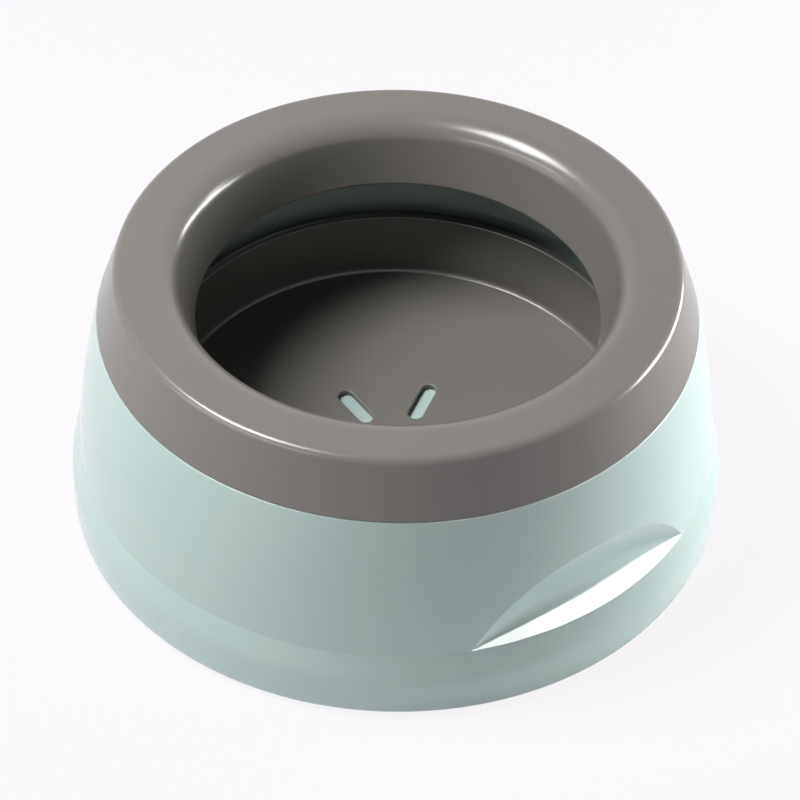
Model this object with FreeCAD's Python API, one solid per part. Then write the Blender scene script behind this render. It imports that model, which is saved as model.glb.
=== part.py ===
import FreeCAD, Part
import math
import os

# No spill dog water bowl, in millimetres. +Z is up and the origin is on the ground under the middle.
# A one-piece basin and skirt carries a push-on splash ring, a loose floating disc and four rubber feet.

Vector = FreeCAD.Vector
UP = Vector(0, 0, 1)
CENTRE = Vector(0, 0, 0)
SKETCH = 0.001

# Bowl body, outside
base_radius = 105.0
ground_gap = 0.8
edge_rounding = 3.0
band_height = 14.5
band_rounding = 20.0
shoulder_lean = 2.9
shoulder_rise = 9.0
crease_rounding = 25.0
side_lean = 8.0
side_rise = 48.7
side_bow = 1.15
skirt_wall = 2.5
band_wall = 3.4

# Bowl body, basin
rim_rise = 7.8
rim_wall = 2.4
rim_rounding = 0.9
basin_inset = 14.5
basin_corner_rounding = 6.0
basin_wall = 2.5
basin_floor_wall = 2.4

# Splash ring
ring_rise = 19.1
ring_lean = 6.5
ring_wall = 2.5
ring_edge_rounding = 2.6
ring_fit_clearance = 0.3
ring_top_width = 17.7
mouth_rounding = 4.6
collar_lean = 6.8
collar_depth = 21.2
collar_wall = 2.2
collar_end_rounding = 0.9
collar_end_share = 0.41

# Floating disc
disc_floor_height = 12.0
disc_floor_wall = 1.8
disc_floor_rise = 10.6
disc_play = 1.9
disc_corner_rounding = 2.0
disc_base_rounding = 3.6
disc_depth = 32.9
disc_wall = 2.0
disc_wall_lean = 1.1
disc_lip_reach = 0.8
disc_lip_depth = 2.6
disc_rim_rounding = 0.7
disc_seat_gap = 0.4
slot_count = 6
slot_inner_end = 14.2
slot_outer_end = 30.0
slot_width = 5.0

# Finger scoops, one at each side
scoop_height = 21.5
scoop_half_angle = 24.0
scoop_fullness = 2.35
scoop_shelf_run = 7.4
scoop_shelf_rise = 7.0
scoop_valley_rounding = 4.5
scoop_reach = 6.0
scoop_tip_swell = 0.03
scoop_sections = 9

# Feet
foot_count = 4
foot_first_angle = 45.0
foot_inset = 2.6
foot_pad_radius = 9.0
foot_pad_thickness = 2.2
foot_pad_rounding = 0.7
foot_stem_radius = 5.6
foot_stem_length = 11.0
foot_stem_clearance = 0.1
boss_wall = 2.6
boss_roof_wall = 2.4
boss_height = 31.0
web_thickness = 2.0
web_bottom_height = 9.0


def turned(outline):
    """Solid of revolution about Z from (radius, height, bow of the run that leaves the point)."""
    edges = []
    for (r0, z0, bow), (r1, z1, _) in zip(outline, outline[1:] + outline[:1]):
        start = Vector(r0, 0, z0)
        end = Vector(r1, 0, z1)
        run = end - start
        if bow:
            across = Vector(run.z, 0, -run.x).normalize()
            middle = (start + end) * 0.5 + across * bow
            edges.append(Part.Arc(start, middle, end).toShape())
        else:
            edges.append(Part.LineSegment(start, end).toShape())
    solid = Part.Face(Part.Wire(edges)).revolve(CENTRE, UP, 360)
    return solid if solid.Volume > 0 else solid.reversed()


def softened(solid, circles):
    """Round the circular edges about Z that are given as (radius, height, rounding)."""
    for radius, height, rounding in circles:
        found = [edge for edge in solid.Edges if lies_on_circle(edge, radius, height)]
        solid = solid.makeFillet(rounding, found)
    return solid


def lies_on_circle(edge, radius, height):
    """Whether an edge runs along the circle of this radius and height about Z."""
    if edge.Degenerated or not isinstance(edge.Curve, Part.Circle):
        return False
    same_height = abs(edge.Curve.Center.z - height) < SKETCH
    return same_height and abs(edge.Curve.Radius - radius) < SKETCH


def around(solid, angle):
    """Copy of a solid, turned about Z by an angle in degrees."""
    copy = solid.copy()
    copy.rotate(CENTRE, UP, angle)
    return copy


def sagitta(sphere_radius, radius):
    """Rise of a dish of this sphere radius at a radius from its middle."""
    return sphere_radius - math.sqrt(sphere_radius ** 2 - radius ** 2)


def bow_of_dish(sphere_radius, radius):
    """Bow of the arc that a dish makes from its middle out to a radius."""
    half_chord = math.hypot(radius, sagitta(sphere_radius, radius)) / 2
    return sagitta(sphere_radius, half_chord)


# Heights and radii that follow from the sizes above

crease_radius = base_radius - shoulder_lean
crease_height = band_height + shoulder_rise
joint_radius = crease_radius - side_lean
joint_height = crease_height + side_rise
side_slope = side_lean / side_rise

ring_top_radius = joint_radius - ring_lean
ring_height = joint_height + ring_rise
ring_slope = ring_lean / ring_rise
mouth_radius = ring_top_radius - ring_top_width
collar_end_radius = mouth_radius - collar_lean
collar_end_height = ring_height - collar_depth
collar_slope = collar_lean / collar_depth
collar_end_fillet = min(collar_end_rounding, collar_wall * collar_end_share)

rim_height = joint_height + rim_rise
neck_step = ring_wall + ring_fit_clearance
neck_foot_radius = joint_radius - neck_step
neck_top_radius = joint_radius - ring_slope * rim_rise - neck_step
basin_mouth_radius = neck_top_radius - rim_wall
basin_foot_radius = joint_radius - basin_inset

disc_floor_radius = basin_foot_radius - disc_play - disc_wall
disc_rim_radius = disc_floor_radius + disc_wall_lean
disc_rim_height = disc_floor_height + disc_depth

dish_top_sphere = (disc_floor_radius ** 2 + disc_floor_rise ** 2) / (2 * disc_floor_rise)
dish_under_sphere = dish_top_sphere + disc_floor_wall
basin_sphere = dish_under_sphere + disc_seat_gap
basin_under_sphere = basin_sphere + basin_floor_wall
disc_under_height = disc_floor_height - disc_floor_wall
basin_floor_height = disc_under_height - disc_seat_gap
basin_under_height = basin_floor_height - basin_floor_wall
basin_foot_height = basin_floor_height + sagitta(basin_sphere, basin_foot_radius)
basin_slope = (basin_mouth_radius - basin_foot_radius) / (rim_height - basin_foot_height)

foot_circle_radius = base_radius - band_wall - foot_inset - foot_pad_radius


# Bowl body

def scoop_cutter(growth):
    """Tool of one finger scoop, a loft of wedges along the crease, grown by a wall."""
    tip_share = (1 - scoop_tip_swell) ** (1 / scoop_fullness)
    profiles = []
    for index in range(scoop_sections):
        share = tip_share * (2 * index / (scoop_sections - 1) - 1)
        swell = 1 - abs(share) ** scoop_fullness
        crease = Vector(crease_radius, 0, crease_height)
        valley = crease + Vector(-scoop_shelf_run, 0, scoop_shelf_rise) * swell
        top = crease + Vector(-scoop_height * side_slope, 0, scoop_height) * swell
        profile = wedge(crease, valley, top, scoop_valley_rounding * swell, growth)
        profiles.append(around(profile, share * scoop_half_angle))
    return Part.makeLoft(profiles, True, False)


def wedge(low, valley, high, rounding, growth):
    """Section of a scoop: two straight flanks from a rounded valley out past the skirt."""
    shelf = (low - valley).normalize()
    back = (high - valley).normalize()
    shelf_shift = Vector(shelf.z, 0, -shelf.x) * growth
    back_shift = Vector(-back.z, 0, back.x) * growth
    opening = shelf.getAngle(back)
    inwards = (shelf + back).normalize() * -1
    apex = valley + inwards * (growth / math.sin(opening / 2))
    cut = (rounding + growth) / math.tan(opening / 2)
    middle_reach = (rounding + growth) * (1 / math.sin(opening / 2) - 1)
    shelf_end = low + shelf * scoop_reach + shelf_shift
    back_end = high + back * scoop_reach + back_shift
    bend = Part.Arc(apex + shelf * cut, apex - inwards * middle_reach, apex + back * cut)
    return Part.Wire([
        Part.LineSegment(shelf_end, apex + shelf * cut).toShape(),
        bend.toShape(),
        Part.LineSegment(apex + back * cut, back_end).toShape(),
        Part.LineSegment(back_end, shelf_end).toShape(),
    ])


def foot_places():
    """Angles of the feet about Z."""
    return [foot_first_angle + 360.0 / foot_count * index for index in range(foot_count)]


def body_outside():
    """Body as if it were solid underneath, with the basin open at the top."""
    outline = [
        (0, ground_gap, 0),
        (base_radius, ground_gap, 0),
        (base_radius, band_height, 0),
        (crease_radius, crease_height, side_bow),
        (joint_radius, joint_height, 0),
        (neck_foot_radius, joint_height, 0),
        (neck_top_radius, rim_height, 0),
        (basin_mouth_radius, rim_height, 0),
        (basin_foot_radius, basin_foot_height, -bow_of_dish(basin_sphere, basin_foot_radius)),
        (0, basin_floor_height, 0),
    ]
    return softened(turned(outline), [
        (base_radius, ground_gap, edge_rounding),
        (base_radius, band_height, band_rounding),
        (crease_radius, crease_height, crease_rounding),
        (neck_top_radius, rim_height, rim_rounding),
        (basin_mouth_radius, rim_height, rim_rounding),
        (basin_foot_radius, basin_foot_height, basin_corner_rounding),
    ])


def body_hollow():
    """Space under the body, between the skirt, the basin and the ground."""
    top_height = joint_height - skirt_wall
    under_foot_radius = basin_foot_radius + basin_wall
    under_foot_height = basin_under_height + sagitta(basin_under_sphere, under_foot_radius)
    top_inner_radius = basin_foot_radius + basin_slope * (top_height - basin_foot_height) + basin_wall
    outline = [
        (0, 0, 0),
        (base_radius - band_wall, 0, 0),
        (base_radius - band_wall, band_height, 0),
        (crease_radius - skirt_wall, crease_height, side_bow),
        (joint_radius - skirt_wall, top_height, 0),
        (top_inner_radius, top_height, 0),
        (under_foot_radius, under_foot_height, -bow_of_dish(basin_under_sphere, under_foot_radius)),
        (0, basin_under_height, 0),
    ]
    return softened(turned(outline), [
        (under_foot_radius, under_foot_height, basin_corner_rounding + basin_wall),
    ])


def foot_boss():
    """Round post that holds one foot's stem, with the web that ties it to skirt and basin."""
    bore_radius = foot_stem_radius + foot_stem_clearance
    post = Part.makeCylinder(bore_radius + boss_wall, boss_height - foot_pad_thickness,
                             Vector(foot_circle_radius, 0, foot_pad_thickness))
    web = Part.makeBox(base_radius - basin_foot_radius, web_thickness, joint_height - web_bottom_height,
                       Vector(basin_foot_radius, -web_thickness / 2, web_bottom_height))
    bore = Part.makeCylinder(bore_radius, boss_height - boss_roof_wall, Vector(foot_circle_radius, 0, 0))
    return post.fuse(web).cut(bore)


def bowl_body():
    """Basin, skirt and neck in one moulding, open underneath, with two finger scoops."""
    outside = body_outside()
    hollow = body_hollow()
    for side in (0, 180):
        outside = outside.cut(around(scoop_cutter(0), side))
        hollow = hollow.cut(around(scoop_cutter(skirt_wall), side))
    for angle in foot_places():
        hollow = hollow.cut(around(foot_boss(), angle))
    return outside.cut(hollow).removeSplitter()


# Splash ring

def splash_ring():
    """Push-on ring: sloping skirt, flat top and a collar that narrows down into the bowl."""
    ceiling = ring_height - ring_wall
    collar_back_radius = mouth_radius - collar_slope * ring_wall + collar_wall
    skirt_back_radius = joint_radius - ring_slope * (ceiling - joint_height) - ring_wall
    outline = [
        (joint_radius, joint_height, 0),
        (ring_top_radius, ring_height, 0),
        (mouth_radius, ring_height, 0),
        (collar_end_radius, collar_end_height, 0),
        (collar_end_radius + collar_wall, collar_end_height, 0),
        (collar_back_radius, ceiling, 0),
        (skirt_back_radius, ceiling, 0),
        (joint_radius - ring_wall, joint_height, 0),
    ]
    return softened(turned(outline), [
        (ring_top_radius, ring_height, ring_edge_rounding),
        (mouth_radius, ring_height, mouth_rounding),
        (collar_end_radius, collar_end_height, collar_end_fillet),
        (collar_end_radius + collar_wall, collar_end_height, collar_end_fillet),
        (collar_back_radius, ceiling, mouth_rounding - ring_wall),
    ])


# Floating disc

def drain_slot():
    """Round-ended slot along X that lets the water up through the disc's floor."""
    radius = slot_width / 2
    depth = disc_rim_height
    inner = slot_inner_end + radius
    outer = slot_outer_end - radius
    bar = Part.makeBox(outer - inner, slot_width, depth, Vector(inner, -radius, 0))
    return bar.fuse([
        Part.makeCylinder(radius, depth, Vector(inner, 0, 0)),
        Part.makeCylinder(radius, depth, Vector(outer, 0, 0)),
    ])


def floating_disc():
    """Dished disc with an upright wall, a small lip and a star of drain slots."""
    edge_height = disc_floor_height + disc_floor_rise
    wall_foot_radius = disc_floor_radius + disc_wall
    wall_foot_height = disc_under_height + sagitta(dish_under_sphere, wall_foot_radius)
    lip_height = disc_rim_height - disc_lip_depth
    wall_top_radius = disc_rim_radius + disc_wall
    lip_radius = wall_top_radius + disc_lip_reach
    outline = [
        (0, disc_under_height, bow_of_dish(dish_under_sphere, wall_foot_radius)),
        (wall_foot_radius, wall_foot_height, 0),
        (wall_top_radius, lip_height, 0),
        (lip_radius, lip_height, 0),
        (lip_radius, disc_rim_height, 0),
        (disc_rim_radius, disc_rim_height, 0),
        (disc_floor_radius, edge_height, -bow_of_dish(dish_top_sphere, disc_floor_radius)),
        (0, disc_floor_height, 0),
    ]
    disc = softened(turned(outline), [
        (wall_foot_radius, wall_foot_height, disc_base_rounding),
        (lip_radius, disc_rim_height, disc_rim_rounding),
        (disc_rim_radius, disc_rim_height, disc_rim_rounding),
        (disc_floor_radius, edge_height, disc_corner_rounding),
    ])
    for index in range(slot_count):
        disc = disc.cut(around(drain_slot(), 360.0 / slot_count * index))
    return disc


# Rubber feet

def rubber_foot():
    """Push-in foot: a round pad under the boss with a stem in its bore."""
    outline = [
        (0, 0, 0),
        (foot_pad_radius, 0, 0),
        (foot_pad_radius, foot_pad_thickness, 0),
        (foot_stem_radius, foot_pad_thickness, 0),
        (foot_stem_radius, foot_pad_thickness + foot_stem_length, 0),
        (0, foot_pad_thickness + foot_stem_length, 0),
    ]
    foot = softened(turned(outline), [(foot_pad_radius, 0, foot_pad_rounding)])
    foot.translate(Vector(foot_circle_radius, 0, 0))
    return foot


pieces = {
    "bowl_body": bowl_body(),
    "splash_ring": splash_ring(),
    "floating_disc": floating_disc(),
}
for number, angle in enumerate(foot_places(), start=1):
    pieces["rubber_foot_%d" % number] = around(rubber_foot(), angle)

os.makedirs("parts", exist_ok=True)
for name, shape in pieces.items():
    shape.exportStep("parts/%s.step" % name)
    print("%s: %d solid, %.1f cm3, valid %s" % (name, len(shape.Solids), shape.Volume / 1000, shape.isValid()))
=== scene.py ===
"""No spill dog water bowl: surfaces, plastics, studio light and camera around the fixed frame."""
import logging
import math
from dataclasses import dataclass
from enum import Enum

import bmesh
import bpy
import numpy as np
from bpy.types import Material, Node, NodeTree, Object
from mathutils import Matrix, Vector


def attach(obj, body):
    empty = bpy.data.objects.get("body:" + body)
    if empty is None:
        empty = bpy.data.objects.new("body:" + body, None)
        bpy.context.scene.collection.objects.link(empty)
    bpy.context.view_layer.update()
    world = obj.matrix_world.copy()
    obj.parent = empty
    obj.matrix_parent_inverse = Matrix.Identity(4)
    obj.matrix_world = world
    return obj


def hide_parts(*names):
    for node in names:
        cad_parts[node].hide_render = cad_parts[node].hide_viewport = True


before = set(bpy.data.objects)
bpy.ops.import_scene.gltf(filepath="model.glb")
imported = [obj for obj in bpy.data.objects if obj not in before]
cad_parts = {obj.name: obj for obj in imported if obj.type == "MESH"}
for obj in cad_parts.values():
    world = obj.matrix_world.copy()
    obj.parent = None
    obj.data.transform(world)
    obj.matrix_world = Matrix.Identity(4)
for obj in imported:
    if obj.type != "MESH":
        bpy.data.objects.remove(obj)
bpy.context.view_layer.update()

MM = 0.001
WELD = 0.002 * MM  # points closer than this become one
STRAIGHT = 1e-4  # sine of a turn that counts as none
FOOT_ANGLES = (45.0, 135.0, 225.0, 315.0)  # directions of the feet, in degrees

Array = np.ndarray
Wire = tuple[Node, str, Node, str | int]

logging.basicConfig(level=logging.INFO, format="%(name)s: %(message)s")
log = logging.getLogger("bowl")


class Body(Enum):
    """Moving groups of the bowl, as the frame names them."""

    BOWL = "bowl"
    DISC = "disc"
    RING = "ring"


class Slot(Enum):
    """Material slots of the record."""

    MINT = "mint_plastic"
    GREY = "grey_plastic"
    RUBBER = "foot_rubber"


# Outlines and grids


@dataclass
class Corner:
    """Corner of an outline in the (radius, height) half-plane, in millimetres.

    Radius, height, rounding and bow may be one number or one per direction round the axis.
    The bow is that of the run that leaves the corner, to the right of its direction. That run
    is cut into spans, and the corner's rounding into bends.
    """

    radius: float | Array
    height: float | Array
    rounding: float | Array = 0.3
    bow: float | Array = 0.0
    spans: int = 8
    bends: int = 6


@dataclass
class Outline:
    """Closed or open chain of corners, joined by straight or bowed runs and rounded at each corner.

    A corner cuts its two runs back by at least least_trim and at most most_share of their length.
    """

    corners: list[Corner]
    closed: bool = False
    least_trim: float = 0.05
    most_share: float = 0.45
    least_bend: float = 1e-5

    def points(self, columns: int) -> Array:
        """Sample the rounded outline for every direction at once.

        A run is an arc whose half-angle a has tan(a / 2) = 2 bow / chord. A corner is cut back by
        rounding x tan(turn / 2) on both runs and bridged by a conic whose weight is cos(turn / 2).

        Args:
            columns: Number of directions round the axis.

        Returns:
            Array of (rows, columns, 2) with radius and height.
        """
        count = len(self.corners)
        place = np.stack([self._spread(columns, name) for name in ("radius", "height")], axis=-1)
        rounding, bow = self._spread(columns, "rounding"), self._spread(columns, "bow")
        chord = np.roll(place, -1, axis=0) - place
        length = np.linalg.norm(chord, axis=-1)
        along = chord / length[..., None]
        across = np.stack([along[..., 1], -along[..., 0]], axis=-1)
        half = 2 * np.arctan2(2 * bow, length)
        half = np.where(np.abs(half) < self.least_bend, self.least_bend, half)
        arc_length = length * half / np.sin(half)

        def on_run(index: int, share: Array) -> Array:
            """Point of a run at a share of its length."""
            angle = half[index] * (2 * share - 1)
            scale = length[index] / (2 * np.sin(half[index]))
            middle = place[index] + chord[index] / 2
            forward = along[index] * (scale * np.sin(angle))[..., None]
            sideways = across[index] * (scale * (np.cos(angle) - np.cos(half[index])))[..., None]
            return middle + forward + sideways

        def heading(index: int, share: float | Array) -> Array:
            """Direction of a run at a share of its length."""
            angle = (half[index] * (2 * share - 1))[..., None]
            return along[index] * np.cos(angle) - across[index] * np.sin(angle)

        ends = () if self.closed else (0, count - 1)
        cut = np.zeros((count, columns))
        for index in range(count):
            if index in ends:
                continue
            before = (index - 1) % count
            turn = turn_between(heading(before, 1.0), heading(index, 0.0))
            wanted = np.maximum(rounding[index] * np.tan(turn / 2), self.least_trim)
            most = self.most_share * np.minimum(arc_length[before], arc_length[index])
            cut[index] = np.minimum(wanted, most)

        rows = []
        for index, corner in enumerate(self.corners):
            before, following = (index - 1) % count, (index + 1) % count
            leave = cut[index] / arc_length[index]
            if index in ends:
                rows.append(place[index][None])
            else:
                arrive = 1 - cut[index] / arc_length[before]
                rows.append(bridge(
                    on_run(before, arrive), heading(before, arrive),
                    on_run(index, leave), heading(index, leave), corner.bends,
                ))
            if index == count - 1 and not self.closed:
                break
            stop = 1 - cut[following] / arc_length[index]
            for step in range(1, corner.spans + 1):
                ease = (1 - math.cos(math.pi * step / (corner.spans + 1))) / 2
                rows.append(on_run(index, leave + (stop - leave) * ease)[None])
        return np.concatenate(rows, axis=0)

    def _spread(self, columns: int, name: str) -> Array:
        """One value per corner and direction of the named field."""
        values = [getattr(corner, name) for corner in self.corners]
        return np.stack([np.broadcast_to(value, columns) for value in values])


def turn_between(first: Array, second: Array) -> Array:
    """Angle between unit vectors, in radians."""
    return np.arccos(np.clip(np.sum(first * second, axis=-1), -1, 1))


def cross(first: Array, second: Array) -> Array:
    """Cross product of vectors in the plane."""
    return first[..., 0] * second[..., 1] - first[..., 1] * second[..., 0]


def bridge(start: Array, leaving: Array, end: Array, arriving: Array, steps: int) -> Array:
    """Rounded corner between two runs, as a conic tangent to both.

    Args:
        start: Points where the first run stops, (columns, 2).
        leaving: Unit directions there.
        end: Points where the second run starts.
        arriving: Unit directions there.
        steps: Number of spans of the corner.

    Returns:
        Array of (steps + 1, columns, 2).
    """
    gap = end - start
    bend = cross(leaving, arriving)
    straight = np.abs(bend) < STRAIGHT
    reach = cross(gap, arriving) / np.where(straight, 1, bend)
    ahead = np.where(straight, np.linalg.norm(gap, axis=-1) / 2, reach)
    control = start + leaving * ahead[:, None]
    weight = np.cos(turn_between(leaving, arriving) / 2)[:, None]
    share = np.linspace(0, 1, steps + 1)[:, None, None]
    first, middle, last = (1 - share) ** 2, 2 * share * (1 - share) * weight, share ** 2
    return (first * start + middle * control + last * end) / (first + middle + last)


def swept(outline: Array, angles: Array) -> Array:
    """Carry an outline round Z.

    Args:
        outline: (rows, columns, 2) radius and height.
        angles: Direction of each column, in radians.

    Returns:
        Array of (rows, columns, 3), where x is radius x cos(angle) and y is radius x sin(angle).
    """
    radius, height = outline[..., 0], outline[..., 1]
    return np.stack([radius * np.cos(angles), radius * np.sin(angles), height], axis=-1)


def full_turn(columns: int) -> Array:
    """Evenly spaced directions over one turn, in radians."""
    return np.linspace(0, 2 * math.pi, columns, endpoint=False)


def turned(outline: Outline, angles: Array) -> Array:
    """Carry an outline that is the same in every direction round Z, with one column per angle."""
    return swept(outline.points(1).repeat(len(angles), axis=1), angles)


def outward(angle: float) -> Array:
    """Unit vector out from the axis, in a direction in degrees."""
    direction = math.radians(angle)
    return np.array([math.cos(direction), math.sin(direction), 0])


def grid_faces(rows: int, columns: int, wrap_rows: bool, first: int = 0) -> Array:
    """Quads of a grid that closes round its columns, facing to the right of the rows' direction.

    Args:
        rows: Number of rows.
        columns: Number of columns.
        wrap_rows: Whether the last row joins the first.
        first: Number of the grid's first vertex.

    Returns:
        Array of (faces, 4) vertex numbers.
    """
    row = np.arange(rows if wrap_rows else rows - 1)[:, None]
    column = np.arange(columns)[None, :]
    beside = (column + 1) % columns
    above = (row + 1) % rows
    corners = ((row, column), (row, beside), (above, beside), (above, column))
    quads = np.stack([line * columns + place for line, place in corners], axis=-1)
    return quads.reshape(-1, 4) + first


class Piece:
    """Mesh under construction: grids of points and their faces, in millimetres."""

    def __init__(self, name: str) -> None:
        """Start an empty mesh of this name."""
        self.name = name
        self._points: list[Array] = []
        self._faces: list[Array] = []
        self._count = 0

    def add_grid(self, points: Array, wrap_rows: bool = False) -> None:
        """Add a grid of (rows, columns, 3) points that closes round its columns."""
        rows, columns = points.shape[:2]
        self._faces.append(grid_faces(rows, columns, wrap_rows, self._count))
        self._points.append(points.reshape(-1, 3))
        self._count += rows * columns

    def add_plate(self, loop: Array, thickness: Array) -> None:
        """Add a flat closed plate: a convex outline (points, 3), swept along its thickness."""
        middle = loop.mean(axis=0) + 0 * loop
        self.add_grid(np.stack([middle, loop, loop + thickness, middle + thickness]))

    def build(self, body: Body, slot: Slot, material: Material, *nodes: str) -> None:
        """Make the Blender object, weld its seams and poles, and tie it to the frame.

        Args:
            body: Moving group that it rides on.
            slot: Material slot that it stands for; not used.
            material: Its finish.
            nodes: CAD nodes that it replaces.
        """
        mesh = bpy.data.meshes.new(self.name)
        mesh.from_pydata(np.concatenate(self._points) * MM, [], np.concatenate(self._faces))
        shell = bmesh.new()
        shell.from_mesh(mesh)
        bmesh.ops.remove_doubles(shell, verts=shell.verts, dist=WELD)
        shell.to_mesh(mesh)
        shell.free()
        mesh.shade_smooth()
        mesh.materials.append(material)
        piece = bpy.data.objects.new(self.name, mesh)
        bpy.context.scene.collection.objects.link(piece)
        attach(piece, body.value)
        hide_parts(*nodes)
        log.info("%s: %d faces, rides on %s", self.name, len(mesh.polygons), body.value)


def sagitta(sphere: float, radius: float | Array) -> float | Array:
    """Rise of a dish of this sphere radius at a radius from its middle."""
    return sphere - np.sqrt(sphere ** 2 - np.square(radius))


def bow_of_dish(sphere: float, radius: float) -> float:
    """Bow of the arc that a dish makes from its middle out to a radius."""
    return float(sagitta(sphere, math.hypot(radius, sagitta(sphere, radius)) / 2))


def bow_of_circle(radius: float | Array, chord: Array) -> Array:
    """Bow of the short arc that a circle makes over a chord."""
    return radius - np.sqrt(np.maximum(np.square(radius) - np.square(chord) / 4, 0))


# Sub-assemblies


@dataclass
class SplashRing:
    """Push-on ring: sloping skirt, flat top, rounded mouth and a collar that narrows downwards."""

    joint_radius: float = 94.1
    joint_height: float = 72.2
    height: float = 91.3
    top_radius: float = 87.6
    wall: float = 2.5
    edge_rounding: float = 2.6
    mouth_radius: float = 69.9
    mouth_rounding: float = 8.5
    collar_end_radius: float = 63.1
    collar_end_height: float = 70.1
    collar_wall: float = 2.2
    collar_end_rounding: float = 0.9
    foot_rounding: float = 0.35
    columns: int = 288

    @property
    def slope(self) -> float:
        """How far the skirt leans in for each millimetre up."""
        return (self.joint_radius - self.top_radius) / (self.height - self.joint_height)

    def outline(self) -> Outline:
        """Section of the ring, anticlockwise from the skirt's foot."""
        ceiling = self.height - self.wall
        end, end_radius = self.collar_end_height, self.collar_end_radius
        collar_slope = (self.mouth_radius - end_radius) / (self.height - end)
        collar_back = self.mouth_radius - collar_slope * self.wall + self.collar_wall
        skirt_back = self.joint_radius - self.slope * (ceiling - self.joint_height) - self.wall
        return Outline([
            Corner(self.joint_radius, self.joint_height, self.foot_rounding, spans=12),
            Corner(self.top_radius, self.height, self.edge_rounding, spans=12, bends=10),
            Corner(self.mouth_radius, self.height, self.mouth_rounding, spans=14, bends=14),
            Corner(end_radius, end, self.collar_end_rounding),
            Corner(end_radius + self.collar_wall, end, self.collar_end_rounding, spans=10),
            Corner(collar_back, ceiling, self.mouth_rounding - self.wall),
            Corner(skirt_back, ceiling, self.foot_rounding, spans=10),
            Corner(self.joint_radius - self.wall, self.joint_height, self.foot_rounding, spans=4),
        ], closed=True)

    def build(self, material: Material) -> None:
        """Turn the section round Z and tie the ring to its body.

        Args:
            material: Finish of the ring.
        """
        piece = Piece("splash_ring_skin")
        piece.add_grid(turned(self.outline(), full_turn(self.columns)), wrap_rows=True)
        piece.build(Body.RING, Slot.GREY, material, "splash_ring")


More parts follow.
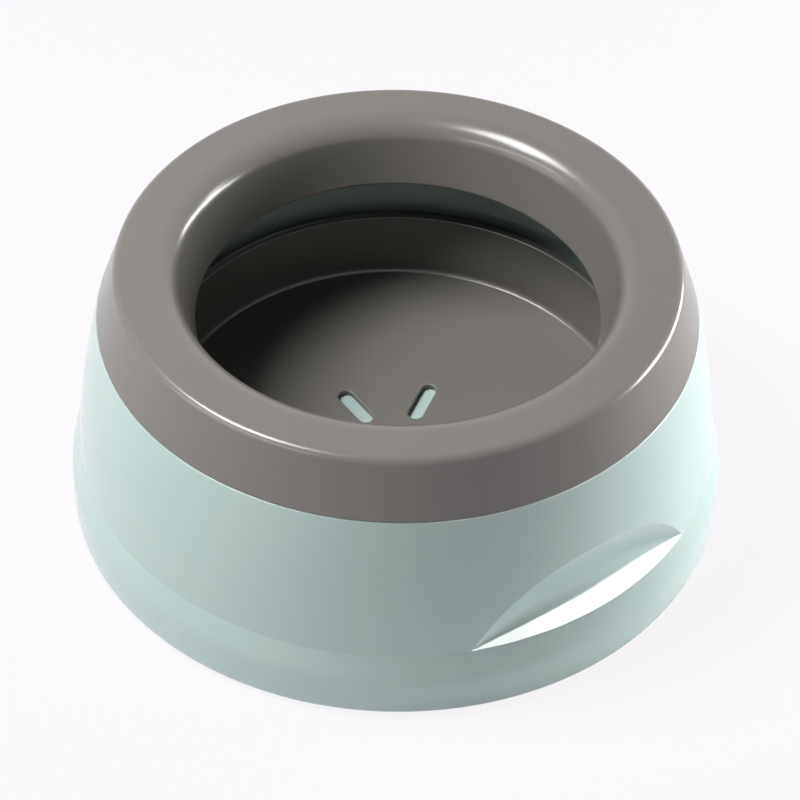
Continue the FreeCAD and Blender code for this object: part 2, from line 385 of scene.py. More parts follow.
@dataclass
class FloatingDisc:
    """Loose disc: upright wall with a small lip and a dished floor with a star of drain slots."""

    floor_height: float = 12.0
    floor_wall: float = 1.8
    floor_radius: float = 75.7
    floor_rise: float = 10.6
    corner_rounding: float = 2.0
    base_rounding: float = 3.6
    rim_height: float = 44.9
    rim_radius: float = 76.8
    wall: float = 2.0
    lip_reach: float = 0.8
    lip_depth: float = 2.6
    lip_rounding: float = 0.3
    rim_rounding: float = 0.7
    slot_count: int = 6
    slot_inner_end: float = 14.2
    slot_outer_end: float = 30.0
    slot_width: float = 5.0
    slot_edge: float = 0.45
    hub_radius: float = 8.0
    star_radius: float = 38.0
    arc_steps: int = 48
    spoke_steps: int = 36
    ramp_steps: int = 12
    edge_steps: int = 5
    hub_steps: int = 6

    @property
    def top_sphere(self) -> float:
        """Sphere radius of the floor's upper face."""
        return (self.floor_radius ** 2 + self.floor_rise ** 2) / (2 * self.floor_rise)

    @property
    def under_sphere(self) -> float:
        """Sphere radius of the floor's lower face."""
        return self.top_sphere + self.floor_wall

    @property
    def columns(self) -> int:
        """Number of directions round the disc."""
        return self.arc_steps * self.slot_count

    def top(self, radius: Array) -> Array:
        """Height of the floor's upper face at a radius."""
        return self.floor_height + sagitta(self.top_sphere, radius)

    def under(self, radius: Array) -> Array:
        """Height of the floor's lower face at a radius."""
        return self.floor_height - self.floor_wall + sagitta(self.under_sphere, radius)

    def rim_outline(self) -> Outline:
        """Section from the star's edge under the floor round the wall to its edge on top."""
        wall_foot = self.floor_radius + self.wall
        lip_height = self.rim_height - self.lip_depth
        wall_top = self.rim_radius + self.wall
        lip = wall_top + self.lip_reach
        start = (self.star_radius, float(self.under(self.star_radius)))
        foot = (wall_foot, float(self.under(wall_foot)))
        edge = (self.floor_radius, float(self.top(self.floor_radius)))
        finish = (self.star_radius, float(self.top(self.star_radius)))
        under_bow = float(bow_of_circle(self.under_sphere, math.dist(start, foot)))
        top_bow = float(bow_of_circle(self.top_sphere, math.dist(edge, finish)))
        return Outline([
            Corner(*start, bow=under_bow, spans=10),
            Corner(*foot, self.base_rounding, spans=10),
            Corner(wall_top, lip_height, self.lip_rounding, spans=2, bends=3),
            Corner(lip, lip_height, self.lip_rounding, spans=3, bends=4),
            Corner(lip, self.rim_height, self.rim_rounding, spans=4),
            Corner(self.rim_radius, self.rim_height, self.rim_rounding, spans=14),
            Corner(*edge, self.corner_rounding, bow=-top_bow, spans=22, bends=8),
            Corner(*finish),
        ])

    def star_sector(self) -> Array:
        """Closed patch of floor round one slot along X, from the sector's border to the one below.

        From each point of the border it runs straight towards the nearest point on the slot's
        middle line, over the slot's rounded edge, down its wall and back under the floor.

        Returns:
            Array of (rows, columns, 3).
        """
        half_turn = math.pi / self.slot_count
        turn = np.linspace(-half_turn, half_turn, self.arc_steps + 1)
        spoke = np.linspace(self.hub_radius, self.star_radius, self.spoke_steps + 1)
        arc = np.stack([np.cos(turn), np.sin(turn)], axis=-1)
        outer, inner = self.star_radius * arc, self.hub_radius * arc
        left = spoke[:, None] * np.array([math.cos(half_turn), math.sin(half_turn)])
        right = left * [1, -1]
        border = np.concatenate([right[:-1], outer[:-1], left[:0:-1], inner[:0:-1]])
        half_width = self.slot_width / 2
        ends = self.slot_inner_end + half_width, self.slot_outer_end - half_width
        line = np.clip(border[:, 0], *ends)
        foot = np.stack([line, 0 * line], axis=-1)
        out = (border - foot) / np.linalg.norm(border - foot, axis=-1, keepdims=True)
        bend = np.linspace(0, math.pi / 2, self.edge_steps + 1)[:, None]
        offset = self.slot_edge * (1 - np.sin(bend))
        drop = self.slot_edge * (1 - np.cos(bend))
        ramp = np.linspace(0, math.pi / 2, self.ramp_steps + 1)
        share = (1 - np.cos(ramp))[::-1, None, None]
        rim = foot + out * (half_width + self.slot_edge)
        flat = rim + (border - rim) * share
        edge = foot + out * (half_width + offset)[..., None]
        flat_radius = np.linalg.norm(flat, axis=-1)
        edge_radius = np.linalg.norm(edge, axis=-1)
        rows = [
            np.dstack([flat, self.top(flat_radius)]),
            np.dstack([edge, self.top(edge_radius) - drop])[1:],
            np.dstack([edge, self.under(edge_radius) + drop])[::-1],
            np.dstack([flat, self.under(flat_radius)])[::-1][1:],
        ]
        return np.concatenate(rows)

    def hub(self) -> tuple[Array, Array]:
        """Round middle of the floor inside the star, as an upper and a lower grid.

        Returns:
            The upper grid from its border inwards, and the lower grid from the middle outwards.
        """
        angles = self.angles()
        radius = np.linspace(self.hub_radius, 0, self.hub_steps + 1)[:, None]
        radius = radius.repeat(self.columns, axis=1)
        upper = swept(np.dstack([radius, self.top(radius)]), angles)
        lower = swept(np.dstack([radius, self.under(radius)])[::-1], angles)
        return upper, lower

    def angles(self) -> Array:
        """Directions round the disc, with one on each sector's border."""
        return math.pi / self.slot_count + full_turn(self.columns)

    def build(self, material: Material) -> None:
        """Join wall, floor, star and hub, and tie the disc to its body.

        Args:
            material: Finish of the disc.
        """
        piece = Piece("floating_disc_skin")
        piece.add_grid(turned(self.rim_outline(), self.angles()))
        sector = self.star_sector()
        for index in range(self.slot_count):
            turn = Matrix.Rotation(2 * math.pi * index / self.slot_count, 3, "Z")
            piece.add_grid(sector @ np.array(turn).T)
        for grid in self.hub():
            piece.add_grid(grid)
        piece.build(Body.DISC, Slot.GREY, material, "floating_disc")


@dataclass
class RubberFoot:
    """Push-in foot: a round pad with a stem in the boss above it."""

    number: int
    angle: float
    circle_radius: float = 90.0
    pad_radius: float = 9.0
    pad_thickness: float = 2.2
    pad_rounding: float = 0.7
    pad_top_rounding: float = 0.3
    stem_radius: float = 5.6
    stem_length: float = 11.0
    stem_foot_rounding: float = 0.1
    stem_top_rounding: float = 0.4
    columns: int = 64

    def build(self, material: Material) -> None:
        """Turn the foot's section, set it under its boss and tie it to the bowl.

        Args:
            material: Finish of the foot.
        """
        top = self.pad_thickness + self.stem_length
        outline = Outline([
            Corner(0, 0),
            Corner(self.pad_radius, 0, self.pad_rounding),
            Corner(self.pad_radius, self.pad_thickness, self.pad_top_rounding),
            Corner(self.stem_radius, self.pad_thickness, self.stem_foot_rounding),
            Corner(self.stem_radius, top, self.stem_top_rounding),
            Corner(0, top),
        ])
        place = self.circle_radius * outward(self.angle)
        piece = Piece("rubber_foot_%d_skin" % self.number)
        piece.add_grid(turned(outline, full_turn(self.columns)) + place)
        piece.build(Body.BOWL, Slot.RUBBER, material, "rubber_foot_%d" % self.number)


@dataclass
class FingerScoops:
    """Two lens-shaped hollows in the skirt: sloping shelf, rounded valley and upright back."""

    height: float = 21.5
    half_angle: float = 24.0
    fullness: float = 2.35
    fade_angle: float = 10.0
    shelf_run: float = 7.4
    shelf_rise: float = 6.2
    valley_rounding: float = 12.0
    top_rounding: float = 2.6
    edge_rounding: float = 0.7
    tip_swell: float = 0.012
    steps: int = 72

    def angles(self, plain_steps: int) -> Array:
        """Directions round the bowl, closer together towards the tips of the scoops.

        Args:
            plain_steps: Number of directions between two scoops.

        Returns:
            Directions in radians, over one full turn.
        """
        half = math.radians(self.half_angle)
        tip_share = (1 - self.tip_swell) ** (1 / self.fullness)
        share = np.sin(np.linspace(-math.pi / 2, math.pi / 2, self.steps + 1))
        scoop = share * tip_share * half
        plain = np.linspace(half, math.pi - half, plain_steps + 1)
        side = np.concatenate([scoop, plain])
        return np.concatenate([side, side + math.pi])

    def swell(self, angles: Array) -> Array:
        """Share of the scoops' full size: 1 - (angle / half angle) to the power of the fullness."""
        share = self.from_middle(angles) / math.radians(self.half_angle)
        return np.maximum(1 - share ** self.fullness, 0)

    def clear_of_tips(self, angles: Array) -> Array:
        """Smooth step from 0 at the scoops' tips to 1 at the fade angle beyond them."""
        beyond = self.from_middle(angles) - math.radians(self.half_angle)
        share = np.clip(beyond / math.radians(self.fade_angle), 0, 1)
        return share * share * (3 - 2 * share)

    def from_middle(self, angles: Array) -> Array:
        """Angle between each direction and the middle of the nearer scoop."""
        return np.abs((angles + math.pi / 2) % math.pi - math.pi / 2)


@dataclass
class ScoopCut:
    """Where a scoop crosses a skirt surface: points (columns, 2) and values (columns,)."""

    lower: Array
    valley: Array
    upper: Array
    swell: Array
    rest_bow: Array

    def rounding(self, in_scoop: float, elsewhere: float) -> Array:
        """Rounding that grows with the scoop's size and is plain beyond its tips."""
        return np.where(self.swell > 0, in_scoop * np.sqrt(self.swell), elsewhere)


@dataclass
class BowlBody:
    """One moulding: basin, neck, skirt and base band, hollow below, with scoops and foot bosses."""

    ring: SplashRing
    disc: FloatingDisc
    scoops: FingerScoops
    foot: RubberFoot
    base_radius: float = 105.0
    ground_gap: float = 0.8
    edge_rounding: float = 3.0
    band_height: float = 14.5
    band_rounding: float = 20.0
    crease_radius: float = 102.1
    crease_height: float = 23.5
    crease_rounding: float = 25.0
    side_bow: float = 1.15
    skirt_wall: float = 2.5
    band_wall: float = 3.4
    rim_height: float = 80.0
    rim_wall: float = 2.4
    rim_rounding: float = 0.9
    basin_foot_radius: float = 79.6
    basin_corner_rounding: float = 6.0
    basin_wall: float = 2.5
    basin_floor_wall: float = 2.4
    seat_gap: float = 0.4
    ring_clearance: float = 0.3
    joint_rounding: float = 0.35
    boss_wall: float = 2.6
    boss_roof_wall: float = 2.4
    boss_height: float = 31.0
    stem_clearance: float = 0.1
    web_thickness: float = 2.0
    web_bottom: float = 9.0
    embed: float = 0.6
    inner_rounding: float = 1.0
    inner_band_rounding: float = 4.0
    inner_edge_rounding: float = 0.5
    step_rounding: float = 0.2
    tip_valley_rounding: float = 0.1
    tip_top_rounding: float = 0.5
    bore_rounding: float = 0.5
    bore_edge_rounding: float = 0.3
    boss_edge_rounding: float = 0.4
    boss_columns: int = 48
    plain_steps: int = 64

    def scoop_cut(self, growth: float, angles: Array) -> ScoopCut:
        """Follow a scoop's section, grown by a wall, across the skirt in each direction.

        The shelf falls from the valley to the crease. The back climbs from the valley and leaves
        the skirt where its line meets the skirt's arc. Beyond the tips all three points lie on
        the skirt.

        Args:
            growth: Wall added to the scoop and taken off the skirt, 0 outside.
            angles: Directions round the bowl.

        Returns:
            The crossing points, the swell and the bow of the skirt that is left above.
        """
        ring, scoops = self.ring, self.scoops
        swell = scoops.swell(angles)
        size = np.where(swell > 0, swell, scoops.tip_swell)[:, None]
        inside = (swell > 0)[:, None]
        crease = np.array([self.crease_radius, self.crease_height])
        valley = np.array([-scoops.shelf_run, scoops.shelf_rise])
        shelf = -valley / np.linalg.norm(valley)
        back = np.array([-scoops.height * self.lean, scoops.height]) - valley
        back = back / np.linalg.norm(back)
        inwards = -(shelf + back) / np.linalg.norm(shelf + back)
        half_opening = math.acos(float(shelf @ back)) / 2
        apex = crease + valley * size + inwards * growth / math.sin(half_opening)
        low = crease - np.array([growth, 0])
        top = np.array([ring.joint_radius, ring.joint_height]) - growth
        chord = float(np.linalg.norm(top - low))
        along = (top - low) / chord
        radius = (chord ** 2 / 4 + self.side_bow ** 2) / (2 * self.side_bow)
        centre = (low + top) / 2 + np.array([along[1], -along[0]]) * (self.side_bow - radius)
        upper = leaving_point(apex, back, centre, radius)
        lower = np.broadcast_to(low, upper.shape)
        if growth:
            band = np.array([self.band_inside, self.band_height])
            lower = np.where(inside, meeting_point(apex, shelf, band, low - band), lower)
        apex = np.where(inside, apex, (lower + upper) / 2)
        rest = radius - np.sqrt(radius ** 2 - np.sum(np.square(top - upper), axis=-1) / 4)
        return ScoopCut(lower, apex, upper, swell, rest)

    @property
    def lean(self) -> float:
        """How far the side leans in for each millimetre up, from the crease to the joint."""
        ring = self.ring
        return (self.crease_radius - ring.joint_radius) / (ring.joint_height - self.crease_height)

    @property
    def band_inside(self) -> float:
        """Radius of the base band's inside."""
        return self.base_radius - self.band_wall

    @property
    def ceiling(self) -> float:
        """Height of the hollow's ceiling, between skirt and basin."""
        return self.ring.joint_height - self.skirt_wall

    @property
    def step(self) -> float:
        """How far the rim stands in from the skirt to make room for the ring."""
        return self.ring.wall + self.ring_clearance

    @property
    def neck_top(self) -> float:
        """Radius of the rim's outside at its top."""
        ring = self.ring
        return ring.joint_radius - ring.slope * (self.rim_height - ring.joint_height) - self.step

    @property
    def mouth(self) -> float:
        """Radius of the rim's inside at its top."""
        return self.neck_top - self.rim_wall

    @property
    def floor(self) -> float:
        """Height of the basin's lowest point."""
        return self.disc.floor_height - self.disc.floor_wall - self.seat_gap

    @property
    def floor_sphere(self) -> float:
        """Sphere radius of the basin's floor."""
        return self.disc.under_sphere + self.seat_gap

    @property
    def foot_height(self) -> float:
        """Height at which the basin's floor meets its side."""
        return self.floor + float(sagitta(self.floor_sphere, self.basin_foot_radius))

    def basin_outside(self, height: float) -> float:
        """Radius of the basin's outside at a height in millimetres."""
        slope = (self.mouth - self.basin_foot_radius) / (self.rim_height - self.foot_height)
        return self.basin_foot_radius + slope * (height - self.foot_height) + self.basin_wall

    def outline(self, angles: Array) -> Outline:
        """Section of the body in every direction, anticlockwise from the underside's middle."""
        ring, scoops = self.ring, self.scoops
        under_sphere = self.floor_sphere + self.basin_floor_wall
        under_floor = self.floor - self.basin_floor_wall
        under_radius = self.basin_foot_radius + self.basin_wall
        under_height = under_floor + float(sagitta(under_sphere, under_radius))
        under_bow = bow_of_dish(under_sphere, under_radius)
        floor_bow = bow_of_dish(self.floor_sphere, self.basin_foot_radius)
        inner, ceiling = self.inner_rounding, self.ceiling
        skirt_top = ring.joint_radius - self.skirt_wall
        outside = self.scoop_cut(0.0, angles)
        within = self.scoop_cut(self.skirt_wall, angles)
        valley_back = scoops.valley_rounding + self.skirt_wall
        within_valley = within.rounding(valley_back, self.tip_valley_rounding)
        beyond_tips = self.crease_rounding * scoops.clear_of_tips(angles)
        crease = outside.rounding(scoops.edge_rounding, beyond_tips)
        valley = outside.rounding(scoops.valley_rounding, self.tip_valley_rounding)
        top = outside.rounding(scoops.top_rounding, self.tip_top_rounding)
        return Outline([
            Corner(0, under_floor, bow=under_bow, spans=12),
            Corner(under_radius, under_height, self.basin_corner_rounding + self.basin_wall),
            Corner(self.basin_outside(ceiling), ceiling, inner, spans=1, bends=3),
            Corner(skirt_top, ceiling, inner, bow=-within.rest_bow, bends=3),
            Corner(*within.upper.T, within.rounding(scoops.top_rounding, inner), spans=5, bends=4),
            Corner(*within.valley.T, within_valley, spans=3),
            Corner(*within.lower.T, inner, spans=4, bends=4),
            Corner(self.band_inside, self.band_height, self.inner_band_rounding, spans=4, bends=4),
            Corner(self.band_inside, self.ground_gap, self.inner_edge_rounding, spans=1, bends=3),
            Corner(self.base_radius, self.ground_gap, self.edge_rounding, spans=6, bends=8),
            Corner(self.base_radius, self.band_height, self.band_rounding, spans=6, bends=10),
            Corner(*outside.lower.T, crease),
            Corner(*outside.valley.T, valley, spans=14, bends=14),
            Corner(*outside.upper.T, top, bow=outside.rest_bow, spans=16, bends=8),
            Corner(ring.joint_radius, ring.joint_height, self.joint_rounding, spans=1, bends=4),
            Corner(ring.joint_radius - self.step, ring.joint_height, self.step_rounding,
                   spans=3, bends=3),
            Corner(self.neck_top, self.rim_height, self.rim_rounding, spans=1),
            Corner(self.mouth, self.rim_height, self.rim_rounding, spans=14),
            Corner(self.basin_foot_radius, self.foot_height, self.basin_corner_rounding,
                   bow=-floor_bow, spans=16, bends=8),
            Corner(0, self.floor),
        ])

    def boss(self, angle: float) -> Array:
        """Hollow post of one foot, a cup that opens downwards, at a direction in degrees."""
        bore = self.foot.stem_radius + self.stem_clearance
        side = bore + self.boss_wall
        bottom, top = self.foot.pad_thickness, self.boss_height
        roof = top - self.boss_roof_wall
        outline = Outline([
            Corner(0, roof),
            Corner(bore, roof, self.bore_rounding, spans=4),
            Corner(bore, bottom, self.bore_edge_rounding, spans=1, bends=3),
            Corner(side, bottom, self.boss_edge_rounding, spans=4, bends=3),
            Corner(side, top, self.inner_rounding, spans=4),
            Corner(0, top),
        ])
        place = self.foot.circle_radius * outward(angle)
        return turned(outline, full_turn(self.boss_columns)) + place

    def build(self, material: Material) -> None:
        """Sweep the section, add the foot bosses with their webs and tie the body to the bowl.

        Args:
            material: Finish of the body.
        """
        angles = self.scoops.angles(self.plain_steps)
        piece = Piece("bowl_body_skin")
        piece.add_grid(swept(self.outline(angles).points(len(angles)), angles))
        for angle in FOOT_ANGLES:
            piece.add_grid(self.boss(angle))
            for loop, thickness in self.webs(angle):
                piece.add_plate(loop, thickness)
        piece.build(Body.BOWL, Slot.MINT, material, "bowl_body")

    def webs(self, angle: float) -> list[tuple[Array, Array]]:
        """Thin upright web that ties one boss to skirt and basin, as three overlapping plates.

        They lie in the boss's radial plane: one from the bore's roof up to the ceiling, and one
        leg on each side of the bore, against the skirt and under the basin.

        Args:
            angle: Direction of the boss in degrees.

        Returns:
            Outline and thickness vector of each plate, in millimetres.
        """
        ceiling = self.ceiling
        roof = self.boss_height - self.boss_roof_wall / 2
        outer_foot = self.band_inside + self.embed
        outer_crease = self.crease_radius - self.skirt_wall + self.embed
        outer_roof = outer_crease - self.lean * (roof - self.crease_height)
        outer_top = outer_crease - self.lean * (ceiling - self.crease_height) + self.side_bow
        inner_foot = self.basin_foot_radius
        inner_roof = self.basin_outside(roof) - self.embed
        inner_top = self.basin_outside(ceiling) - self.embed
        bend = self.foot_height + self.basin_corner_rounding
        post = self.foot.circle_radius
        notch = self.foot.stem_radius + self.stem_clearance + self.boss_wall / 2
        low, high, crown = self.web_bottom, roof + self.embed, ceiling + self.embed
        upper = np.array([
            [inner_roof, roof], [outer_roof, roof],
            [(outer_roof + outer_top) / 2 + self.side_bow, (roof + ceiling) / 2],
            [outer_top, crown], [inner_top, crown],
        ])
        outer_leg = np.array([
            [post + notch, low], [outer_foot, low], [outer_foot, self.band_height],
            [outer_crease, self.crease_height], [outer_roof, high], [post + notch, high],
        ])
        inner_leg = np.array([
            [inner_foot, low], [post - notch, low], [post - notch, high], [inner_roof, high],
            [self.basin_outside(bend) - self.embed, bend],
            [inner_foot, self.foot_height + self.embed],
        ])
        out, up = outward(angle), np.array([0, 0, 1.0])
        half = np.array([-out[1], out[0], 0]) * self.web_thickness / 2
        return [(loop[:, :1] * out + loop[:, 1:] * up + half, -2 * half)
                for loop in (upper, outer_leg, inner_leg)]


def leaving_point(start: Array, along: Array, centre: Array, radius: float) -> Array:
    """Where rays from inside a circle leave it.

    Args:
        start: Starts of the rays, (columns, 2).
        along: Their unit direction, (2,).
        centre: Centre of the circle.
        radius: Its radius.

    Returns:
        Points on the circle, (columns, 2).
    """
    gap = start - centre
    ahead = gap @ along
    reach = np.sqrt(np.square(ahead) - np.sum(np.square(gap), axis=-1) + radius ** 2) - ahead
    return start + along * reach[:, None]


def meeting_point(start: Array, along: Array, other: Array, other_along: Array) -> Array:
    """Where lines of one direction from many starts, (columns, 2), meet one other line."""
    reach = cross(other - start, other_along) / cross(along, other_along)
    return start + along * reach[:, None]


# Finishes


def set_inputs(node: Node, values: dict[str | int, object]) -> Node:
    """Set a node's inputs, given by name or number, and return the node."""
    for key, value in values.items():
        node.inputs[key].default_value = value
    return node


def wire(tree: NodeTree, *wires: Wire) -> None:
    """Join nodes. Each wire names a source, its output, a target and its input."""
    for source, output, target, entry in wires:
        tree.links.new(source.outputs[output], target.inputs[entry])


@dataclass(frozen=True)
class Plastic:
    """Injection-moulded plastic or rubber and how it takes the light.

    The depths of grain and scatter are in metres.
    """

    name: str
    colour: tuple[float, float, float]
    shade: tuple[float, float, float]
    roughness: float
    grain: float
    grain_scale: float
    grain_depth: float = 0.0004
    scatter: float = 0.0
    scatter_depth: float = 0.002
    scatter_radius: tuple[float, float, float] = (1.0, 1.0, 1.0)
    specular: float = 0.5

    def material(self) -> Material:
        """Build the node material.

        Returns:
            A material that reads Object coordinates through the shared skin group.
        """
        material = bpy.data.materials.new(self.name)
        material.use_nodes = True
        tree = material.node_tree
        shader = set_inputs(tree.nodes["Principled BSDF"], {
            "Specular IOR Level": self.specular,
            "Subsurface Weight": self.scatter,
            "Subsurface Radius": self.scatter_radius,
            "Subsurface Scale": self.scatter_depth,
        })
        place = tree.nodes.new("ShaderNodeTexCoord")
        skin = tree.nodes.new("ShaderNodeGroup")
        skin.node_tree = moulded_skin()
        set_inputs(skin, {
            "Colour": (*self.colour, 1), "Shade": (*self.shade, 1),
            "Roughness": self.roughness, "Grain scale": self.grain_scale,
        })
        bump = tree.nodes.new("ShaderNodeBump")
        set_inputs(bump, {"Strength": self.grain, "Distance": self.grain_depth})
        wire(
            tree,
            (place, "Object", skin, "Place"), (skin, "Colour", shader, "Base Color"),
            (skin, "Roughness", shader, "Roughness"), (skin, "Height", bump, "Height"),
            (bump, "Normal", shader, "Normal"),
        )
        return material


def moulded_skin() -> NodeTree:
    """Shared group: cloudy colour of the melt, fine texture of the mould and its patchy gloss.

    Colour is mixed towards Shade by slow noise. Roughness is raised a little by finer noise.
    Height is very fine noise over a slow waviness.

    Returns:
        The node group, built once.
    """
    name = "moulded_skin"
    if name in bpy.data.node_groups:
        return bpy.data.node_groups[name]
    group = bpy.data.node_groups.new(name, "ShaderNodeTree")
    vector, colour, number = "NodeSocketVector", "NodeSocketColor", "NodeSocketFloat"
    for side, label, kind in (
        ("INPUT", "Place", vector), ("INPUT", "Colour", colour), ("INPUT", "Shade", colour),
        ("INPUT", "Roughness", number), ("INPUT", "Grain scale", number),
        ("OUTPUT", "Colour", colour), ("OUTPUT", "Roughness", number), ("OUTPUT", "Height", number),
    ):
        group.interface.new_socket(label, in_out=side, socket_type=kind)
    given = group.nodes.new("NodeGroupInput")
    result = group.nodes.new("NodeGroupOutput")
    cloud, fine, wave = (group.nodes.new("ShaderNodeTexNoise") for _ in range(3))
    set_inputs(cloud, {"Scale": 22, "Detail": 3})
    set_inputs(fine, {"Detail": 2})
    set_inputs(wave, {"Scale": 90, "Detail": 1})
    blend = group.nodes.new("ShaderNodeMix")
    blend.data_type = "RGBA"
    gloss = group.nodes.new("ShaderNodeMapRange")
    gloss.clamp = False
    set_inputs(gloss, {"From Min": 0.3, "From Max": 0.7, "To Min": -0.01, "To Max": 0.015})
    rough = group.nodes.new("ShaderNodeMath")
    relief = group.nodes.new("ShaderNodeMath")
    relief.operation = "MULTIPLY_ADD"
    grain_share = 0.35
    set_inputs(relief, {1: grain_share})
    wire(
        group,
        (given, "Place", cloud, "Vector"), (given, "Place", fine, "Vector"),
        (given, "Place", wave, "Vector"), (given, "Grain scale", fine, "Scale"),
        (cloud, "Fac", blend, "Factor"), (given, "Colour", blend, "A"),
        (given, "Shade", blend, "B"), (wave, "Fac", gloss, "Value"), (gloss, "Result", rough, 0),
        (given, "Roughness", rough, 1), (fine, "Fac", relief, 0), (wave, "Fac", relief, 2),
        (blend, "Result", result, "Colour"), (rough, "Value", result, "Roughness"),
        (relief, "Value", result, "Height"),
    )
    return group


# Each finish: name, colour, shade, roughness, grain and grain scale.
MINT = Plastic("mint_gloss", (0.428, 0.538, 0.512), (0.413, 0.526, 0.50), 0.12, 0.02, 900,
               scatter=0.1, scatter_radius=(0.8, 1.0, 1.0))
GREY = Plastic("grey_satin", (0.170, 0.161, 0.148), (0.162, 0.154, 0.142), 0.22, 0.03, 1400)
RUBBER = Plastic("foot_rubber", (0.085, 0.085, 0.083), (0.07, 0.07, 0.068), 0.62, 0.3, 2600,
                 specular=0.3)


# Studio


@dataclass(frozen=True)
class SoftBox:
    """Rectangular studio light, placed by its direction from the bowl and facing it.

    Angles are in degrees, lengths in metres and power in watts. A gloss_only light shows in a
    surface's gloss alone. only_on names the one piece that it lights.
    """

    name: str
    from_camera: float
    elevation: float
    distance: float
    width: float
    height: float
    power: float
    turn: float = 0.0
    gloss_only: bool = False
    only_on: str = ""


CARD = {"gloss_only": True, "only_on": "bowl_body_skin"}
# Each light: name, angle from the camera, elevation, distance, width, height and power.
LIGHTS = (
    SoftBox("key_box", -88, 62, 1.0, 0.42, 0.42, 13.0),
    SoftBox("left_box", -68, 12, 1.1, 0.7, 0.3, 1.2),
    SoftBox("left_strip", -58, 30, 1.1, 1.0, 0.14, 3.0, gloss_only=True),
    SoftBox("right_box", 108, 7, 0.7, 0.5, 0.2, 7.8),
    SoftBox("right_strip", 102, 18, 1.1, 0.18, 0.26, 2.2, gloss_only=True),
    SoftBox("shelf_card", 68, 39, 0.8, 1.5, 0.2, 17.0, turn=-20, **CARD),
    SoftBox("valley_card", 83, 21, 0.8, 1.0, 0.34, 15.5, turn=-50, **CARD),
)


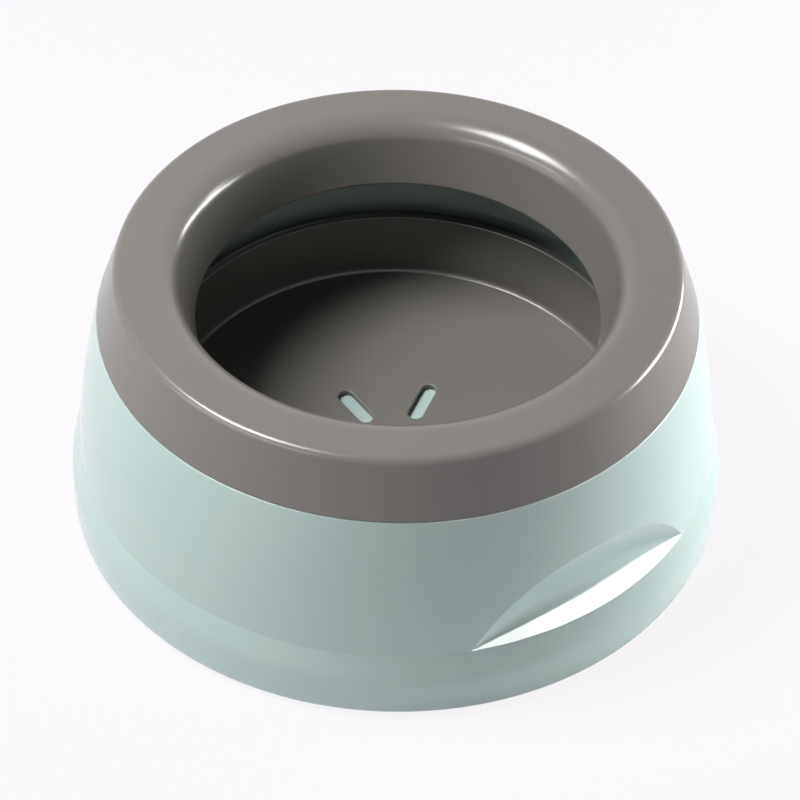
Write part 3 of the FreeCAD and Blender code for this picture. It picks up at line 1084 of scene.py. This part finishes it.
@dataclass
class Studio:
    """Camera, floor, world and lights round the bowl, in metres and degrees."""

    azimuth: float = 52.5
    elevation: float = 43.314
    distance: float = 0.96427
    target: tuple[float, float, float] = (0.00068, 0.00089, 0.03268)
    roll: float = 1.052
    lens: float = 135.0
    sensor: float = 36.0
    backdrop: tuple[float, float, float] = (0.947, 0.930, 0.956)
    ambient: float = 0.035
    floor_size: float = 12.0
    floor_glow: float = 0.93
    clip: tuple[float, float] = (0.05, 50.0)

    def add_camera(self) -> None:
        """Set the camera where the photograph was taken from, with its slight roll."""
        data = bpy.data.cameras.new("photo_camera")
        data.lens, data.sensor_width = self.lens, self.sensor
        data.clip_start, data.clip_end = self.clip
        camera = bpy.data.objects.new("photo_camera", data)
        self.place(camera, 0, self.elevation, self.distance, self.roll)
        bpy.context.scene.camera = camera

    def add_box(self, box: SoftBox) -> None:
        """Hang one soft box, facing the bowl."""
        data = bpy.data.lights.new(box.name, "AREA")
        data.shape = "RECTANGLE"
        data.size, data.size_y = box.width, box.height
        data.energy = box.power
        lamp = bpy.data.objects.new(box.name, data)
        self.place(lamp, box.from_camera, box.elevation, box.distance, box.turn)
        lamp.visible_diffuse = not box.gloss_only
        if box.only_on:
            lit = bpy.data.collections.new(box.name + "_target")
            lit.objects.link(bpy.data.objects[box.only_on])
            lamp.light_linking.receiver_collection = lit

    def place(
        self, item: Object, from_camera: float, elevation: float, distance: float, roll: float,
    ) -> None:
        """Set a camera or lamp out from the target, and face it there.

        Args:
            item: Camera or lamp, which looks along its own -Z.
            from_camera: Degrees to the right of the camera.
            elevation: Degrees above the floor.
            distance: Metres from the target.
            roll: Turn about its own axis, in degrees.
        """
        turn, rise = math.radians(self.azimuth + from_camera), math.radians(elevation)
        level = math.cos(rise)
        out = Vector((math.sin(turn) * level, -math.cos(turn) * level, math.sin(rise)))
        item.rotation_mode = "QUATERNION"
        item.location = Vector(self.target) + out * distance
        facing = (-out).to_track_quat("-Z", "Y")
        own = Matrix.Rotation(math.radians(roll), 3, "Z").to_quaternion()
        item.rotation_quaternion = facing @ own
        bpy.context.scene.collection.objects.link(item)

    def add_world(self) -> None:
        """Give the world a plain ambient light that camera and glossy rays see as the backdrop."""
        world = bpy.data.worlds.new("studio")
        world.use_nodes = True
        bpy.context.scene.world = world
        tree = world.node_tree
        background = set_inputs(tree.nodes["Background"], {"Color": (*self.backdrop, 1)})
        strength = tree.nodes.new("ShaderNodeMapRange")
        set_inputs(strength, {"To Min": self.ambient, "To Max": 1.0})
        wire(
            tree,
            (seen_rays(tree), "Value", strength, "Value"),
            (strength, "Result", background, "Strength"),
        )

    def add_floor(self) -> None:
        """Lay the floor, which keeps a faint shadow and else shows the backdrop's colour."""
        half = self.floor_size / 2
        mesh = bpy.data.meshes.new("floor")
        corners = [(-half, -half, 0), (half, -half, 0), (half, half, 0), (-half, half, 0)]
        mesh.from_pydata(corners, [], [(0, 1, 2, 3)])
        floor = bpy.data.objects.new("floor", mesh)
        bpy.context.scene.collection.objects.link(floor)
        material = bpy.data.materials.new("pale_floor")
        material.use_nodes = True
        tree = material.node_tree
        tree.nodes.remove(tree.nodes["Principled BSDF"])
        paper = tree.nodes.new("ShaderNodeBsdfDiffuse")
        glow = tree.nodes.new("ShaderNodeEmission")
        for node in (paper, glow):
            set_inputs(node, {"Color": (*self.backdrop, 1)})
        blend = tree.nodes.new("ShaderNodeMixShader")
        amount = tree.nodes.new("ShaderNodeMath")
        amount.operation = "MULTIPLY"
        set_inputs(amount, {1: self.floor_glow})
        wire(
            tree,
            (seen_rays(tree), "Value", amount, 0), (amount, "Value", blend, "Fac"),
            (paper, "BSDF", blend, 1), (glow, "Emission", blend, 2),
            (blend, "Shader", tree.nodes["Material Output"], "Surface"),
        )
        mesh.materials.append(material)

    def build(self) -> None:
        """Set up camera, lights, world and floor."""
        bpy.context.scene.view_settings.view_transform = "Standard"
        self.add_camera()
        self.add_world()
        self.add_floor()
        for box in LIGHTS:
            self.add_box(box)
        log.info("studio: %d lights", len(LIGHTS))


def seen_rays(tree: NodeTree) -> Node:
    """Node whose Value is 1 for camera, glossy and transmission rays and 0 for the rest."""
    path = tree.nodes.new("ShaderNodeLightPath")
    first, second = (tree.nodes.new("ShaderNodeMath") for _ in range(2))
    first.operation = second.operation = "MAXIMUM"
    wire(
        tree,
        (path, "Is Camera Ray", first, 0), (path, "Is Glossy Ray", first, 1),
        (first, "Value", second, 0), (path, "Is Transmission Ray", second, 1),
    )
    return second


def main() -> None:
    """Build the bowl's pieces in order, then the studio."""
    mint, grey, rubber = MINT.material(), GREY.material(), RUBBER.material()
    ring, disc = SplashRing(), FloatingDisc()
    feet = [RubberFoot(number, angle) for number, angle in enumerate(FOOT_ANGLES, start=1)]
    BowlBody(ring, disc, FingerScoops(), feet[0]).build(mint)
    ring.build(grey)
    disc.build(grey)
    for foot in feet:
        foot.build(rubber)
    Studio().build()


if __name__ == "__main__":
    main()
